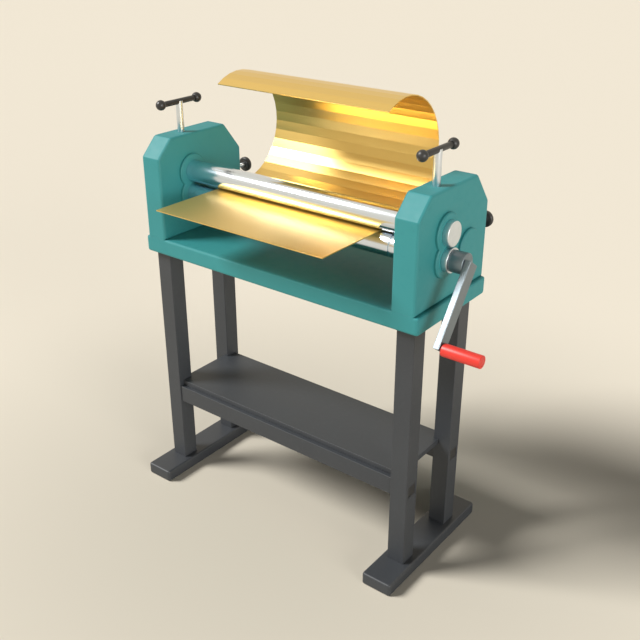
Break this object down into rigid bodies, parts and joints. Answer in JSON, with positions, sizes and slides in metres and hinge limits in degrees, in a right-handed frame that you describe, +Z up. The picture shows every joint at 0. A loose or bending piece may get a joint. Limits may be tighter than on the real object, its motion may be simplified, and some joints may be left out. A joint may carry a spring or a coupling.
{
  "type": "slip roll machine",
  "caption": "Hand-cranked slip roll on a floor stand, with pinch rolls, an adjustable rear roll, T screws and a brass sheet curling out behind.",
  "frame": {"origin": "on the floor under the centre of the whole machine's bounding box", "axes": "+Z up, +X along the rolls towards the crank, +Y from the sheet's flat front edge towards the rear roll"},
  "size_m": [1.104, 0.5106, 1.2428],
  "materials": {
    "teal_paint": "smooth satin enamel over castings",
    "charcoal_paint": "satin powder coat",
    "chrome": "ground and bright",
    "turned_steel": "satin machined",
    "dark_steel": "blackened",
    "bronze": "turned bearing bronze",
    "cast_iron": "machined grey iron",
    "brass": "bright rolled sheet",
    "black_plastic": "satin moulded",
    "red_plastic": "moulded grip"
  },
  "bodies": {
    "frame": {"foot_left": "charcoal_paint", "foot_right": "charcoal_paint", "leg_front_left": "charcoal_paint", "leg_front_right": "charcoal_paint", "leg_rear_left": "charcoal_paint", "leg_rear_right": "charcoal_paint", "rail_front": "charcoal_paint", "rail_rear": "charcoal_paint", "rail_plug_front_left": "black_plastic", "rail_plug_front_right": "black_plastic", "rail_plug_rear_left": "black_plastic", "rail_plug_rear_right": "black_plastic", "shelf_plate": "charcoal_paint", "bed_casting": "teal_paint", "housing_left": "teal_paint", "housing_right": "teal_paint", "lift_nut_left": "bronze", "lift_nut_right": "bronze", "rear_nut_left": "bronze", "rear_nut_right": "bronze", "inner_bush_left": "bronze", "inner_bush_right": "bronze", "outer_bush_left": "bronze", "outer_bush_right": "bronze"},
    "upper_carriage": {"upper_block_left": "cast_iron", "upper_block_right": "cast_iron"},
    "upper_roll_set": {"upper_roll": "chrome", "upper_gear": "turned_steel", "upper_gear_key": "dark_steel", "upper_end_cap_left": "chrome", "upper_end_cap_right": "chrome"},
    "lift_handle_left": {"lift_screw_left": "chrome", "lift_bar_left": "black_plastic", "lift_ball_left_front": "black_plastic", "lift_ball_left_rear": "black_plastic"},
    "lift_handle_right": {"lift_screw_right": "chrome", "lift_bar_right": "black_plastic", "lift_ball_right_front": "black_plastic", "lift_ball_right_rear": "black_plastic"},
    "lower_roll_set": {"lower_roll": "chrome", "lower_gear": "turned_steel", "lower_gear_key": "dark_steel", "lower_end_cap_left": "chrome", "lower_end_collar_right": "chrome", "crank_hub": "dark_steel", "crank_key": "turned_steel", "crank_arm": "turned_steel", "grip_spindle": "turned_steel"},
    "grip": {"crank_grip": "red_plastic", "grip_end_cap": "red_plastic"},
    "rear_carriage": {"rear_block_left": "cast_iron", "rear_block_right": "cast_iron"},
    "rear_roll_body": {"rear_roll": "chrome"},
    "rear_adjuster_left": {"rear_screw_left": "chrome", "rear_knob_left": "black_plastic"},
    "rear_adjuster_right": {"rear_screw_right": "chrome", "rear_knob_right": "black_plastic"},
    "sheet": {"brass_sheet": "brass"}
  },
  "joints": [
    {"name": "crank_turn", "type": "hinge", "parent": "frame", "child": "lower_roll_set", "pos_m": [-0.07825, -0.01275, 0.89895], "axis": [1, 0, 0], "continuous": true},
    {"name": "grip_spin", "type": "hinge", "parent": "lower_roll_set", "child": "grip", "pos_m": [-0.07825, -0.13237, 0.73063], "axis": [1, 0, 0], "continuous": true},
    {"name": "upper_lift", "type": "slide", "parent": "frame", "child": "upper_carriage", "axis": [0, 0, 1], "range_m": [0, 0.008]},
    {"name": "upper_roll_turn", "type": "hinge", "parent": "upper_carriage", "child": "upper_roll_set", "pos_m": [-0.07825, -0.01275, 0.96485], "axis": [1, 0, 0], "continuous": true},
    {"name": "lift_left_turn", "type": "hinge", "parent": "upper_carriage", "child": "lift_handle_left", "pos_m": [-0.49475, -0.01275, 1.06485], "axis": [0, 0, 1], "range_deg": [0, 1440]},
    {"name": "lift_right_turn", "type": "hinge", "parent": "upper_carriage", "child": "lift_handle_right", "pos_m": [0.33825, -0.01275, 1.06485], "axis": [0, 0, 1], "range_deg": [0, 1440]},
    {"name": "rear_adjust", "type": "slide", "parent": "frame", "child": "rear_carriage", "axis": [0, 1, 0], "range_m": [0, 0.012]},
    {"name": "rear_roll_turn", "type": "hinge", "parent": "rear_carriage", "child": "rear_roll_body", "pos_m": [-0.07825, 0.09575, 0.89895], "axis": [1, 0, 0], "continuous": true},
    {"name": "rear_left_turn", "type": "hinge", "parent": "rear_carriage", "child": "rear_adjuster_left", "pos_m": [-0.49475, 0.19575, 0.91815], "axis": [0, 1, 0], "range_deg": [0, 2160]},
    {"name": "rear_right_turn", "type": "hinge", "parent": "rear_carriage", "child": "rear_adjuster_right", "pos_m": [0.33825, 0.19575, 0.91815], "axis": [0, 1, 0], "range_deg": [0, 2160]},
    {"name": "sheet_shift", "type": "slide", "parent": "frame", "child": "sheet", "axis": [1, 0, 0], "range_m": [-0.09, 0.09]}
  ],
  "couplings": [
    {"joint": "upper_roll_turn", "follows": "crank_turn", "ratio": -1},
    {"joint": "lift_left_turn", "follows": "upper_lift", "rad_per_m": 3141.6},
    {"joint": "lift_right_turn", "follows": "upper_lift", "rad_per_m": 3141.6},
    {"joint": "rear_left_turn", "follows": "rear_adjust", "rad_per_m": 3141.6},
    {"joint": "rear_right_turn", "follows": "rear_adjust", "rad_per_m": 3141.6}
  ]
}
